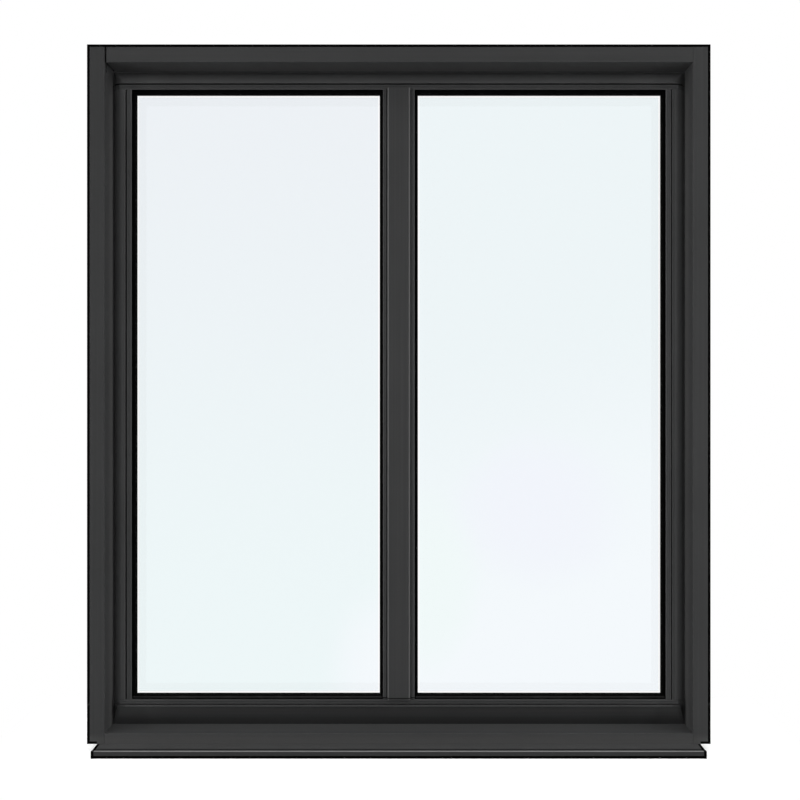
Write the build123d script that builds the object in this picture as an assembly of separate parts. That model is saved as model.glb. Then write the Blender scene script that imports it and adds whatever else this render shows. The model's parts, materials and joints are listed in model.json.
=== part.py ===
from build123d import *
import os

os.makedirs("parts", exist_ok=True)

# Frame, seen from outside
FRAME_WIDTH = 1230.0
FRAME_HEIGHT = 1380.0
FRAME_FACE = 35.0  # visible face of the jambs and head
SILL_FACE = 21.0  # visible face of the bottom rail
REVEAL_DEPTH = 53.0  # from the outside face to the back of the reveal
FRAME_WALL = 3.0
SHELL_TAIL = 9.0  # outer shell behind the reveal
FACE_ROUND = 1.0
HEAD_JOINT_GAP = 1.5  # open joint between the head's face and the left jamb, at its top
HEAD_JOINT_TAPER = 1.5  # wider by this at the head's lower edge
JOINT_SLOT_LENGTH = 17.0  # slot in the left jamb's reveal that carries the joint line down
JOINT_SLOT_SETBACK = 8.0
JOINT_SLOT_WIDTH = 6.0

# Insulating bars that tie the outer shells to the inner shells
BREAK_LENGTH = 28.0
BREAK_THICKNESS = 2.2
BREAK_INSET = 1.5
FOOT_DEPTH = 2.5
FOOT_FLARE = 0.6

# Wall anchors through the inner shells
ANCHOR_HOLE_DIAMETER = 11.0
ANCHOR_END_DISTANCE = 150.0
JAMB_ANCHORS = 4
HEAD_ANCHOR_SPACING = 600.0

# Sash that holds the glass
STOP_OVERLAP = 7.0  # sash edge hidden behind the frame
SASH_GAP = 4.0  # between the sash edge and the frame
SASH_RISE = 9.0  # sash face in front of the back of the reveal
SASH_SIGHT = 40.0  # from the frame face to the edge of the glazing lip
HEAD_SIGHT = 39.2  # the same at the top rail
BOTTOM_SIGHT = 52.2  # and at the bottom rail
SASH_WALL = 3.0
SASH_FLAT = 4.5  # flat strip between the curved face and the groove
CURVE_START = 1.0  # where the curved face begins, in from the frame face
GROOVE_WIDTH = 2.0
GROOVE_DEPTH = 6.0
LIP_WIDTH = 10.5
BOTTOM_LIP_WIDTH = 8.7
LIP_SETBACK = 1.0
LIP_THICKNESS = 13.0
LIP_ROUND = 0.8
REED_PITCH = 3.5  # between the fine grooves along the lips
REED_WIDTH = 0.9
REED_DEPTH = 1.2
REBATE = 23.0  # height of the glazing lip above the rebate
BACK_SETBACK = 3.0  # sash behind the frame's room face

# Drip edge along the sash's bottom rail
DRIP_EDGE_WIDTH = 3.5
DRIP_EDGE_PROUD = 2.0
DRIP_UNDERCUT = 4.5

# Mullion between the two panes
MULLION_FLAT = 40.0
MULLION_SHOULDER = 3.0
MULLION_SHOULDER_DEPTH = 2.2
MULLION_LIP = 7.0
MULLION_PROUD = 4.0
MULLION_LAP = 2.5  # raised face over the top rail's lip
MULLION_FOOT_GAP = 1.0  # open joint above the bottom rail's lip

# Glass, gaskets and seals
GLASS_THICKNESS = 40.0
GLASS_COVER = 18.0  # glass edge hidden behind the lip
GASKET_THICKNESS = 6.0
GASKET_SIGHT = 6.6
BOTTOM_GASKET_SIGHT = 7.8
GASKET_COVER = 9.0
GASKET_SETBACK = 2.0
GASKET_NOSE_FLAT = 0.4  # between the two rounds of its nose
INNER_GASKET_THICKNESS = 5.0
INNER_GASKET_SIGHT = 2.5
INNER_GASKET_COVER = 9.0
SETTING_BLOCK_LENGTH = 100.0
WEATHER_SEAL_THICKNESS = 3.0
WEATHER_SEAL_WIDTH = 5.0
ROOM_SEAL_DEPTH = 8.0
ROOM_SEAL_SETBACK = 1.0
EDGE_SEAL_THICKNESS = 5.4
EDGE_SEAL_WIDTH = 14.0
EDGE_SEAL_SETBACK = 1.0

# Glazing beads on the room side
BEAD_SETBACK = 8.0  # bead edge behind the edge of the lip
BEAD_DEPTH = 18.0
BEAD_SLOPE_DEPTH = 10.0
BEAD_SLOPE_WIDTH = 4.0

# Cill under the frame
CILL_HEIGHT = 10.0
CILL_INSET = 20.0  # from the frame's edge to the cill's end
CILL_PROJECTION = 37.0
CILL_FALL = 1.3
CILL_WALL = 2.5
CILL_CHAMBERS = 4
NOSE_BEAD = 5.0  # raised bead along the nose
NOSE_CHAMFER = 1.8
NOSE_GROOVE_WIDTH = 2.0
NOSE_GROOVE_DEPTH = 4.0
END_CAP_THICKNESS = 5.4
DRIP_STRIP_HEIGHT = 4.4
DRIP_STRIP_REBATE = 1.3  # how far the strip reaches up into the nose
DRIP_STRIP_WIDTH = 5.0
DRIP_STRIP_SETBACK = 0.5
DRIP_FOOT_WIDTH = 3.0
DRIP_FOOT_HEIGHT = 2.0

# Levels and edges that follow from the sizes above
HALF_WIDTH = FRAME_WIDTH / 2
FRAME_BOTTOM = CILL_HEIGHT
FRAME_TOP = FRAME_BOTTOM + FRAME_HEIGHT
SIDES = ("left", "right", "head", "sill")
STOP = {"left": FRAME_FACE, "right": FRAME_FACE, "head": FRAME_FACE, "sill": SILL_FACE}
SIGHT = {"left": SASH_SIGHT, "right": SASH_SIGHT, "head": HEAD_SIGHT, "sill": BOTTOM_SIGHT}
LIP = {"left": LIP_WIDTH, "right": LIP_WIDTH, "head": LIP_WIDTH, "sill": BOTTOM_LIP_WIDTH}
SASH_EDGE = {side: STOP[side] - STOP_OVERLAP for side in SIDES}
FRAME_BACK = {side: SASH_EDGE[side] - SASH_GAP for side in SIDES}
LIP_EDGE = {side: STOP[side] + SIGHT[side] for side in SIDES}
REBATE_EDGE = {side: LIP_EDGE[side] - REBATE for side in SIDES}
MULLION_HALF = MULLION_FLAT / 2 + MULLION_SHOULDER + GROOVE_WIDTH + MULLION_LIP

# Depths behind the outside face
OUTER_SHELL_BACK = REVEAL_DEPTH + SHELL_TAIL
INNER_SHELL_FRONT = OUTER_SHELL_BACK + BREAK_LENGTH
SASH_FRONT = REVEAL_DEPTH - SASH_RISE
SASH_SHOULDER = REVEAL_DEPTH + WEATHER_SEAL_THICKNESS
LIP_FRONT = SASH_FRONT + LIP_SETBACK
LIP_BACK = LIP_FRONT + LIP_THICKNESS
GLASS_FRONT = LIP_BACK + GASKET_THICKNESS
GLASS_BACK = GLASS_FRONT + GLASS_THICKNESS
BEAD_FRONT = GLASS_BACK + INNER_GASKET_THICKNESS
SASH_BACK = BEAD_FRONT + BEAD_DEPTH
FRAME_DEPTH = SASH_BACK + BACK_SETBACK


# Profiles are drawn with x inwards from the frame's outer edge and y back from the outside face

def outline(*points):
    return make_face(Polyline(*points, close=True))


def rectangle(low, high):
    return outline(low, (high[0], low[1]), high, (low[0], high[1]))


def rounded(face, corners, radius):
    picked = [face.vertices().sort_by_distance((x, y, 0))[0] for x, y in corners]
    return fillet(picked, radius)


def break_bars(side):
    """Two insulating bars with flared feet, standing between the shells."""
    bars = []
    for inset in (BREAK_INSET, FRAME_BACK[side] - BREAK_INSET - BREAK_THICKNESS):
        near = inset
        far = inset + BREAK_THICKNESS
        bars.append(
            outline(
                (near, OUTER_SHELL_BACK),
                (near - FOOT_FLARE, OUTER_SHELL_BACK - FOOT_DEPTH),
                (far + FOOT_FLARE, OUTER_SHELL_BACK - FOOT_DEPTH),
                (far, OUTER_SHELL_BACK),
                (far, INNER_SHELL_FRONT),
                (far + FOOT_FLARE, INNER_SHELL_FRONT + FOOT_DEPTH),
                (near - FOOT_FLARE, INNER_SHELL_FRONT + FOOT_DEPTH),
                (near, INNER_SHELL_FRONT),
            )
        )
    return bars


def outer_shell_profile(side):
    """Hollow outer shell with a tail behind the reveal, and a step for the edge seal except at the sill."""
    stop = STOP[side]
    back = FRAME_BACK[side]
    step = 0.0 if side == "sill" else EDGE_SEAL_THICKNESS
    shell = outline(
        (0, 0),
        (stop, 0),
        (stop, REVEAL_DEPTH),
        (back, REVEAL_DEPTH),
        (back, OUTER_SHELL_BACK),
        (0, OUTER_SHELL_BACK),
    )
    chamber = rectangle((FRAME_WALL, FRAME_WALL), (stop - FRAME_WALL, REVEAL_DEPTH - FRAME_WALL))
    if step:
        shell -= rectangle((0, 0), (step, EDGE_SEAL_WIDTH))
        chamber -= rectangle((0, 0), (step + FRAME_WALL, EDGE_SEAL_WIDTH + FRAME_WALL))
        shell = rounded(shell, [(step, 0)], FACE_ROUND)
    shell = rounded(shell, [(stop, 0)], FACE_ROUND)
    shell -= chamber
    for bar_face in break_bars(side):
        shell -= bar_face
    return shell


def inner_shell_profile(side):
    """Hollow inner shell that the wall anchors pass through."""
    back = FRAME_BACK[side]
    shell = rectangle((0, INNER_SHELL_FRONT), (back, FRAME_DEPTH))
    shell = rounded(shell, [(0, FRAME_DEPTH), (back, FRAME_DEPTH)], FACE_ROUND)
    chamber_front = INNER_SHELL_FRONT + FOOT_DEPTH + FRAME_WALL
    shell -= rectangle((FRAME_WALL, chamber_front), (back - FRAME_WALL, FRAME_DEPTH - FRAME_WALL))
    for bar_face in break_bars(side):
        shell -= bar_face
    return shell


def sash_chambers(near, far):
    """Two chambers in the sash body, one behind the other."""
    low = LIP_BACK + SASH_WALL
    high = SASH_BACK - SASH_WALL
    middle = (low + high) / 2
    front = rectangle((near, low), (far, middle - SASH_WALL / 2))
    rear = rectangle((near, middle + SASH_WALL / 2), (far, high))
    return [front, rear]


def lip_reeds(near, far):
    """Fine grooves that divide the face of a lip into strips of about the reed pitch."""
    strips = max(1, round((far - near) / REED_PITCH))
    reeds = Sketch()
    for i in range(1, strips):
        low = near + (far - near) * i / strips - REED_WIDTH / 2
        reeds += rectangle((low, LIP_FRONT), (low + REED_WIDTH, LIP_FRONT + REED_DEPTH))
    return reeds


def sash_outline(side):
    """Sash section: face, groove, glazing lip and body. The bottom rail has a drip edge and a raked face."""
    edge = SASH_EDGE[side]
    lip = LIP_EDGE[side]
    rebate = REBATE_EDGE[side]
    groove_far = lip - LIP[side]
    groove_near = groove_far - GROOVE_WIDTH
    groove_floor = LIP_FRONT + GROOVE_DEPTH
    start = STOP[side] + CURVE_START
    if side == "sill":
        drip_foot = groove_near - DRIP_EDGE_WIDTH
        drip_front = SASH_FRONT - DRIP_EDGE_PROUD
        face = Polyline(
            (start, SASH_SHOULDER),
            (drip_foot, drip_front + DRIP_UNDERCUT),
            (drip_foot, drip_front),
            (groove_near, drip_front),
        )
        soft = [(drip_foot, drip_front), (groove_near, drip_front)]
    else:
        flat = groove_near - SASH_FLAT
        curve = TangentArc((flat, SASH_FRONT), (start, SASH_SHOULDER), tangent=(-1, 0))
        face = curve + Line((flat, SASH_FRONT), (groove_near, SASH_FRONT))
        soft = [(groove_near, SASH_FRONT)]
    rest = Polyline(
        (groove_near, drip_front if side == "sill" else SASH_FRONT),
        (groove_near, groove_floor),
        (groove_far, groove_floor),
        (groove_far, LIP_FRONT),
        (lip, LIP_FRONT),
        (lip, LIP_BACK),
        (rebate, LIP_BACK),
        (rebate, SASH_BACK),
        (edge, SASH_BACK),
        (edge, SASH_SHOULDER),
        (start, SASH_SHOULDER),
    )
    soft += [(groove_far, LIP_FRONT), (lip, LIP_FRONT)]
    return rounded(make_face(face + rest), soft, LIP_ROUND) - lip_reeds(groove_far, lip)


def sash_profile(side):
    section = sash_outline(side)
    for chamber in sash_chambers(SASH_EDGE[side] + SASH_WALL, REBATE_EDGE[side] - SASH_WALL):
        section -= chamber
    return section


def mullion_profile():
    """Mullion section about its own middle: raised face, shoulders, grooves, two lips and a web."""
    flat = MULLION_FLAT / 2
    shoulder = flat + MULLION_SHOULDER
    groove = shoulder + GROOVE_WIDTH
    web = MULLION_HALF - REBATE
    face_front = SASH_FRONT - MULLION_PROUD
    groove_floor = LIP_FRONT + GROOVE_DEPTH
    half = [
        (flat, face_front),
        (shoulder, face_front + MULLION_SHOULDER_DEPTH),
        (shoulder, groove_floor),
        (groove, groove_floor),
        (groove, LIP_FRONT),
        (MULLION_HALF, LIP_FRONT),
        (MULLION_HALF, LIP_BACK),
        (web, LIP_BACK),
        (web, SASH_BACK),
    ]
    other = [(-x, y) for x, y in reversed(half)]
    section = outline(*half, *other)
    soft = [(side * x, LIP_FRONT) for side in (-1, 1) for x in (groove, MULLION_HALF)]
    section = rounded(section, soft, LIP_ROUND)
    section -= lip_reeds(groove, MULLION_HALF) + lip_reeds(-MULLION_HALF, -groove)
    for chamber in sash_chambers(SASH_WALL - web, web - SASH_WALL):
        section -= chamber
    return section


# Bars run along the sides of the frame

def side_plane(side, low, high):
    """Plane at the start of a bar: x points into the frame, y back from the outside face."""
    if side == "left":
        return Plane((-HALF_WIDTH, 0, low), x_dir=(1, 0, 0), z_dir=(0, 0, 1))
    if side == "right":
        return Plane((HALF_WIDTH, 0, high), x_dir=(-1, 0, 0), z_dir=(0, 0, -1))
    if side == "head":
        return Plane((low, 0, FRAME_TOP), x_dir=(0, 0, -1), z_dir=(1, 0, 0))
    return Plane((high, 0, FRAME_BOTTOM), x_dir=(0, 0, 1), z_dir=(-1, 0, 0))


def bar(profile, side, low, high):
    plane = side_plane(side, low, high)
    return extrude(plane * profile, high - low, dir=plane.z_dir)


def span(side, insets):
    """Ends of a bar that stops at the given insets from the frame's outer edges."""
    if side in ("left", "right"):
        return FRAME_BOTTOM + insets["sill"], FRAME_TOP - insets["head"]
    return insets["left"] - HALF_WIDTH, HALF_WIDTH - insets["right"]


def block(x_range, y_range, z_range):
    low = Vector(x_range[0], y_range[0], z_range[0])
    size = Vector(x_range[1], y_range[1], z_range[1]) - low
    return Pos(low) * Box(size.X, size.Y, size.Z, align=(Align.MIN, Align.MIN, Align.MIN))


def shortened(solid, side, full, short, depths):
    """Cut back a bar's ends between two depths, where it meets a bar that runs through."""
    for low, high in ((full[0], short[0]), (short[1], full[1])):
        if side in ("left", "right"):
            solid -= block((-FRAME_WIDTH, FRAME_WIDTH), depths, (low, high))
        else:
            solid -= block((low, high), depths, (0, 2 * FRAME_TOP))
    return solid


NO_INSET = {side: 0.0 for side in SIDES}


def frame_jamb(side):
    """Full-height jamb, stepped at its top and foot for the edge seal."""
    low, high = span(side, NO_INSET)
    shell = bar(outer_shell_profile(side), side, low, high)
    shell -= bar(rectangle((0, 0), (FRAME_FACE, EDGE_SEAL_WIDTH)), side, high - EDGE_SEAL_THICKNESS, high)
    shell -= bar(rectangle((0, 0), (CILL_INSET, EDGE_SEAL_WIDTH)), side, low, low + EDGE_SEAL_THICKNESS)
    if side == "left":
        slot_back = JOINT_SLOT_SETBACK + JOINT_SLOT_WIDTH
        slot = rectangle((FRAME_FACE - FRAME_WALL, JOINT_SLOT_SETBACK), (FRAME_FACE, slot_back))
        slot_top = high - FRAME_FACE
        shell -= bar(slot, side, slot_top - JOINT_SLOT_LENGTH, slot_top)
    return shell


def frame_crossbar(side):
    """Head or bottom rail between the jambs, with its front part stopping at their faces."""
    full = span(side, FRAME_BACK)
    shell = bar(outer_shell_profile(side), side, *full)
    low, high = span(side, STOP)
    if side == "head":
        low += HEAD_JOINT_GAP
        shell -= head_joint_wedge(low)
    return shortened(shell, side, full, (low, high), (0, REVEAL_DEPTH))


def head_joint_wedge(start):
    """Wedge that makes the open joint at the head's left end wider towards its lower edge."""
    foot = FRAME_TOP - FRAME_FACE
    end = Polyline((start, 0, FRAME_TOP), (start + HEAD_JOINT_TAPER, 0, foot), (start, 0, foot), close=True)
    return extrude(make_face(end), REVEAL_DEPTH, dir=(0, 1, 0))


def anchor_places(side):
    if side == "head":
        return [-HEAD_ANCHOR_SPACING / 2, HEAD_ANCHOR_SPACING / 2]
    step = (FRAME_HEIGHT - 2 * ANCHOR_END_DISTANCE) / (JAMB_ANCHORS - 1)
    return [FRAME_BOTTOM + ANCHOR_END_DISTANCE + step * i for i in range(JAMB_ANCHORS)]


def inner_shell(side):
    """Inner shell with the holes for the wall anchors. The bottom rail has none."""
    insets = FRAME_BACK if side in ("head", "sill") else NO_INSET
    shell = bar(inner_shell_profile(side), side, *span(side, insets))
    if side == "sill":
        return shell
    depth = (INNER_SHELL_FRONT + FRAME_DEPTH) / 2
    for place in anchor_places(side):
        plane = side_plane(side, place, place)
        hole = Plane(plane.origin + plane.y_dir * depth, z_dir=plane.x_dir)
        shell -= hole * Cylinder(
            ANCHOR_HOLE_DIAMETER / 2, FRAME_BACK[side], align=(Align.CENTER, Align.CENTER, Align.MIN)
        )
    return shell


def thermal_break(side):
    insets = FRAME_BACK if side in ("head", "sill") else NO_INSET
    low, high = span(side, insets)
    return Compound(children=[bar(face, side, low, high) for face in break_bars(side)])


def sash_rail(side):
    """Rail across the whole sash, its ends shaped to the curved face of the stiles."""
    full = span(side, SASH_EDGE)
    rail = bar(sash_profile(side), side, *full)
    for end in ("left", "right"):
        waste = rectangle((0, 0), (LIP_EDGE[end] - LIP[end] - GROOVE_WIDTH, SASH_SHOULDER))
        waste -= sash_outline(end)
        rail -= bar(waste, end, 0, FRAME_TOP)
    return rail


def sash_stile(side):
    """Stile between the rails, its front part stopping at their glazing lips."""
    full = span(side, REBATE_EDGE)
    stile = bar(sash_profile(side), side, *full)
    return shortened(stile, side, full, span(side, LIP_EDGE), (0, LIP_BACK))


def sash_mullion():
    """Mullion between the rails. Its raised face laps the top rail's lip."""
    full = span("left", REBATE_EDGE)
    plane = Plane((0, 0, full[0]), x_dir=(1, 0, 0), z_dir=(0, 0, 1))
    mullion = extrude(plane * mullion_profile(), full[1] - full[0], dir=plane.z_dir)
    low, high = span("left", LIP_EDGE)
    low += MULLION_FOOT_GAP
    mullion = shortened(mullion, "left", full, (low, high + MULLION_LAP), (0, LIP_FRONT))
    return shortened(mullion, "left", full, (low, high), (LIP_FRONT, LIP_BACK))


def edge_seal(side):
    """Black strip along the frame's outer edge. At a jamb it turns under the foot up to the cill."""
    section = rectangle((0, EDGE_SEAL_SETBACK), (EDGE_SEAL_THICKNESS, EDGE_SEAL_WIDTH))
    low, high = span(side, NO_INSET)
    if side == "head":
        return bar(section, side, low, high)
    strip = bar(section, side, low, high - EDGE_SEAL_THICKNESS)
    foot = rectangle((0, EDGE_SEAL_SETBACK), (CILL_INSET, EDGE_SEAL_WIDTH))
    return strip + bar(foot, side, low, low + EDGE_SEAL_THICKNESS)


# Pieces that follow a rectangle seen from outside

def frame_ring(outer, inner, y_range):
    """Closed ring between two sets of insets from the frame's outer edges."""
    rings = []
    for insets in (outer, inner):
        rings.append(block(span("head", insets), y_range, span("left", insets)))
    return rings[0] - rings[1]


def pane_range(pane, grow):
    """Sight opening of a pane between the glazing lips, grown on all sides."""
    near = MULLION_HALF - grow
    far = HALF_WIDTH - LIP_EDGE[pane] + grow
    across = (-far, -near) if pane == "left" else (near, far)
    low, high = span(pane, LIP_EDGE)
    return across, (low - grow, high + grow)


def pane_block(pane, grow, y_range):
    across, upright = pane_range(pane, grow)
    return block(across, y_range, upright)


def gasket_opening(pane):
    """Clear view inside the outer gasket, which shows wider along the bottom."""
    across, upright = pane_range(pane, -GASKET_SIGHT)
    low = pane_range(pane, -BOTTOM_GASKET_SIGHT)[1][0]
    return block(across, (0, GLASS_FRONT), (low, upright[1]))


def outer_gasket(pane):
    """Gasket behind the lip that also wraps its edge, with a round nose."""
    gasket = pane_block(pane, GASKET_COVER, (LIP_BACK, GLASS_FRONT))
    gasket += pane_block(pane, 0, (LIP_FRONT + GASKET_SETBACK, LIP_BACK))
    gasket -= gasket_opening(pane)
    nose = gasket.edges().group_by(Axis.Y)[0]
    return fillet(nose, (GASKET_SIGHT - GASKET_NOSE_FLAT) / 2)


def inner_gasket(pane):
    """Flat gasket between the glass and the beads."""
    depth = (GLASS_BACK, BEAD_FRONT)
    covered = pane_block(pane, BEAD_SETBACK + INNER_GASKET_COVER, depth)
    return covered - pane_block(pane, BEAD_SETBACK - INNER_GASKET_SIGHT, depth)


def setting_blocks(pane):
    """Two blocks on the bottom rail that carry the glass, a quarter of its width in from its ends."""
    across, upright = pane_range(pane, GLASS_COVER)
    quarter = (across[1] - across[0]) / 4
    half = SETTING_BLOCK_LENGTH / 2
    seat = pane_range(pane, REBATE)[1][0]
    blocks = []
    for middle in (across[0] + quarter, across[1] - quarter):
        blocks.append(block((middle - half, middle + half), (GLASS_FRONT, GLASS_BACK), (seat, upright[0])))
    return Compound(children=blocks)


def glazing_bead(pane, edge):
    """Mitred bead on the room side, sloped down towards the glass."""
    across, upright = pane_range(pane, BEAD_SETBACK)
    wide_across, wide_upright = pane_range(pane, REBATE)
    corners = {
        "left": (0, 0, 0, 1),
        "right": (1, 0, 1, 1),
        "bottom": (0, 0, 1, 0),
        "top": (0, 1, 1, 1),
    }[edge]
    i, j, k, l = corners
    plan = Polyline(
        (wide_across[i], 0, wide_upright[j]),
        (wide_across[k], 0, wide_upright[l]),
        (across[k], 0, upright[l]),
        (across[i], 0, upright[j]),
        close=True,
    )
    bead = Pos(0, BEAD_FRONT, 0) * extrude(make_face(plan), BEAD_DEPTH, dir=(0, 1, 0))
    sight = Vector((across[i] + across[k]) / 2, SASH_BACK, (upright[j] + upright[l]) / 2)
    room_edge = bead.edges().sort_by_distance(sight)[0]
    room_face = bead.faces().sort_by(Axis.Y)[-1]
    return chamfer(room_edge, BEAD_SLOPE_WIDTH, BEAD_SLOPE_DEPTH, reference=room_face)


# Cill section: x back from the outside face, y up

CILL_HALF = HALF_WIDTH - CILL_INSET
NOSE_BACK = NOSE_BEAD - CILL_PROJECTION
GROOVE_BACK = NOSE_BACK + NOSE_GROOVE_WIDTH


def cill_outline():
    """Flat underside, a top that falls outwards, and a nose bead with a water groove behind it."""
    nose = -CILL_PROJECTION
    floor = CILL_HEIGHT - CILL_FALL - NOSE_GROOVE_DEPTH
    return outline(
        (nose, 0),
        (FRAME_DEPTH, 0),
        (FRAME_DEPTH, CILL_HEIGHT),
        (0, CILL_HEIGHT),
        (GROOVE_BACK, CILL_HEIGHT - CILL_FALL),
        (GROOVE_BACK, floor),
        (NOSE_BACK, floor),
        (NOSE_BACK, CILL_HEIGHT),
        (nose + NOSE_CHAMFER, CILL_HEIGHT),
        (nose, CILL_HEIGHT - NOSE_CHAMFER),
    )


def drip_strip_profile():
    """Flexible strip under the nose, let into its lower edge and held by a flared foot."""
    front = DRIP_STRIP_SETBACK - CILL_PROJECTION
    back = front + DRIP_STRIP_WIDTH
    neck = back - DRIP_FOOT_WIDTH
    foot = DRIP_STRIP_REBATE + DRIP_FOOT_HEIGHT
    return outline(
        (front, -DRIP_STRIP_HEIGHT),
        (back, -DRIP_STRIP_HEIGHT),
        (back, foot),
        (neck - FOOT_FLARE, foot),
        (neck, DRIP_STRIP_REBATE),
        (front, DRIP_STRIP_REBATE),
    )


def drip_rebate():
    """Rebate along the nose's lower front edge, in front of and around the strip."""
    return rectangle((-CILL_PROJECTION, 0), (DRIP_STRIP_SETBACK - CILL_PROJECTION, DRIP_STRIP_REBATE))


def cill_profile():
    """Cill section with a row of flat chambers and the groove for the drip strip."""
    section = cill_outline() - drip_strip_profile() - drip_rebate()
    start = GROOVE_BACK + CILL_WALL
    top = CILL_HEIGHT - CILL_FALL - CILL_WALL
    pitch = (FRAME_DEPTH - start) / CILL_CHAMBERS
    for i in range(CILL_CHAMBERS):
        low = start + pitch * i
        section -= rectangle((low, CILL_WALL), (low + pitch - CILL_WALL, top))
    return section


def along_width(profile, low, high):
    plane = Plane((low, 0, 0), x_dir=(0, 1, 0), z_dir=(1, 0, 0))
    return extrude(plane * profile, high - low, dir=plane.z_dir)


def cill_end_cap(direction):
    nose = -CILL_PROJECTION
    lip = rectangle((nose, -DRIP_STRIP_HEIGHT), (nose + DRIP_STRIP_SETBACK + DRIP_STRIP_WIDTH, 0))
    plate = cill_outline() + lip
    ends = sorted((direction * CILL_HALF, direction * (CILL_HALF - END_CAP_THICKNESS)))
    return along_width(plate, *ends)


# The assembly

nodes = {}

nodes["left_jamb_outer_shell"] = frame_jamb("left")
nodes["right_jamb_outer_shell"] = frame_jamb("right")
nodes["head_outer_shell"] = frame_crossbar("head")
nodes["bottom_rail_outer_shell"] = frame_crossbar("sill")

member_names = {"left": "left_jamb", "right": "right_jamb", "head": "head", "sill": "bottom_rail"}
for side, name in member_names.items():
    nodes[f"{name}_inner_shell"] = inner_shell(side)
    nodes[f"{name}_thermal_break"] = thermal_break(side)

for side in ("left", "right", "head"):
    nodes[f"{side}_edge_seal"] = edge_seal(side)

nodes["sash_top_rail"] = sash_rail("head")
nodes["sash_bottom_rail"] = sash_rail("sill")
nodes["sash_left_stile"] = sash_stile("left")
nodes["sash_right_stile"] = sash_stile("right")
nodes["sash_mullion"] = sash_mullion()

seal_inner = {side: SASH_EDGE[side] + WEATHER_SEAL_WIDTH for side in SIDES}
nodes["weather_seal"] = frame_ring(SASH_EDGE, seal_inner, (REVEAL_DEPTH, SASH_SHOULDER))
room_face = SASH_BACK - ROOM_SEAL_SETBACK
nodes["room_seal"] = frame_ring(FRAME_BACK, SASH_EDGE, (room_face - ROOM_SEAL_DEPTH, room_face))

for pane in ("left", "right"):
    nodes[f"{pane}_armoured_glass"] = pane_block(pane, GLASS_COVER, (GLASS_FRONT, GLASS_BACK))
    nodes[f"{pane}_outer_gasket"] = outer_gasket(pane)
    nodes[f"{pane}_inner_gasket"] = inner_gasket(pane)
    nodes[f"{pane}_setting_blocks"] = setting_blocks(pane)
    for edge in ("left", "right", "top", "bottom"):
        nodes[f"{pane}_pane_{edge}_bead"] = glazing_bead(pane, edge)

cill_end = CILL_HALF - END_CAP_THICKNESS
nodes["cill"] = along_width(cill_profile(), -cill_end, cill_end)
nodes["cill_drip_strip"] = along_width(drip_strip_profile(), -cill_end, cill_end)
nodes["cill_left_end_cap"] = cill_end_cap(-1)
nodes["cill_right_end_cap"] = cill_end_cap(1)

for name, shape in nodes.items():
    export_step(shape, f"parts/{name}.step")
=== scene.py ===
import json
from math import pi, radians

import bpy
from mathutils import Matrix, Vector


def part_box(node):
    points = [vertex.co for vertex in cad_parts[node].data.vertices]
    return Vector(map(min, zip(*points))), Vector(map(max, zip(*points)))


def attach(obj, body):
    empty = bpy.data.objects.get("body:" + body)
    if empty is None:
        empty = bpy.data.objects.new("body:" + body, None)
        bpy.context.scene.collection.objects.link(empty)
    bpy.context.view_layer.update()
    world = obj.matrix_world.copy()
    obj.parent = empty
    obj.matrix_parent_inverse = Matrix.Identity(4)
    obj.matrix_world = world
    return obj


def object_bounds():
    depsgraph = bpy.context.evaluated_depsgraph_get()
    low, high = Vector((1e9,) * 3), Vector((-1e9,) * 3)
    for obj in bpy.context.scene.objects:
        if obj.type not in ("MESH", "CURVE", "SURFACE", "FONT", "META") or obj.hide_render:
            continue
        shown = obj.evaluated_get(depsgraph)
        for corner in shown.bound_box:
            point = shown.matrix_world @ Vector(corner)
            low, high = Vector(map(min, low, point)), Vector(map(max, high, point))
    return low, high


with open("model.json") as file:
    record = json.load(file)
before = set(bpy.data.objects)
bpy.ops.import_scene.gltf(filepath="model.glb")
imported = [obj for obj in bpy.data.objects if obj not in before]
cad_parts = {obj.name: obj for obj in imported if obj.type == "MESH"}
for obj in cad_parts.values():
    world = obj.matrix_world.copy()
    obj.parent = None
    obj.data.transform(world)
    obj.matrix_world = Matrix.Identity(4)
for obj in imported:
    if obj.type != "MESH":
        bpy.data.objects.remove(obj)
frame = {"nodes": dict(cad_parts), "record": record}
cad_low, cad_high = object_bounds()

WINDOW = "root"
PANES = ("left", "right")
EDGES = ("left", "right", "top", "bottom")

# Edges of the frame, the sash and the cill, from which the places on them are measured
JAMB_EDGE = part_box("right_jamb_outer_shell")[0].x
HEAD_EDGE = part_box("head_outer_shell")[0].z
SILL_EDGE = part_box("bottom_rail_outer_shell")[1].z
STILE_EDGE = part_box("sash_right_stile")[0].x
STILE_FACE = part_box("sash_right_stile")[0].y
TOP_RAIL_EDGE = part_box("sash_top_rail")[0].z
BOTTOM_RAIL_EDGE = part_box("sash_bottom_rail")[1].z
MULLION_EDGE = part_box("sash_mullion")[1].x
CILL_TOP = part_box("cill")[1].z
CILL_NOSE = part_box("cill")[0].y


def past(edge, first, second):
    """Two places at these distances past an edge, or short of it where they are negative."""
    return edge + first, edge + second


# Camera in front of the outside face, level with the middle of the panes
CAMERA_PLACE = (0.0024, -1.8, 0.6885)
CAMERA_LENS = 41.087
CAMERA_SENSOR = 36.0

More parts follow.
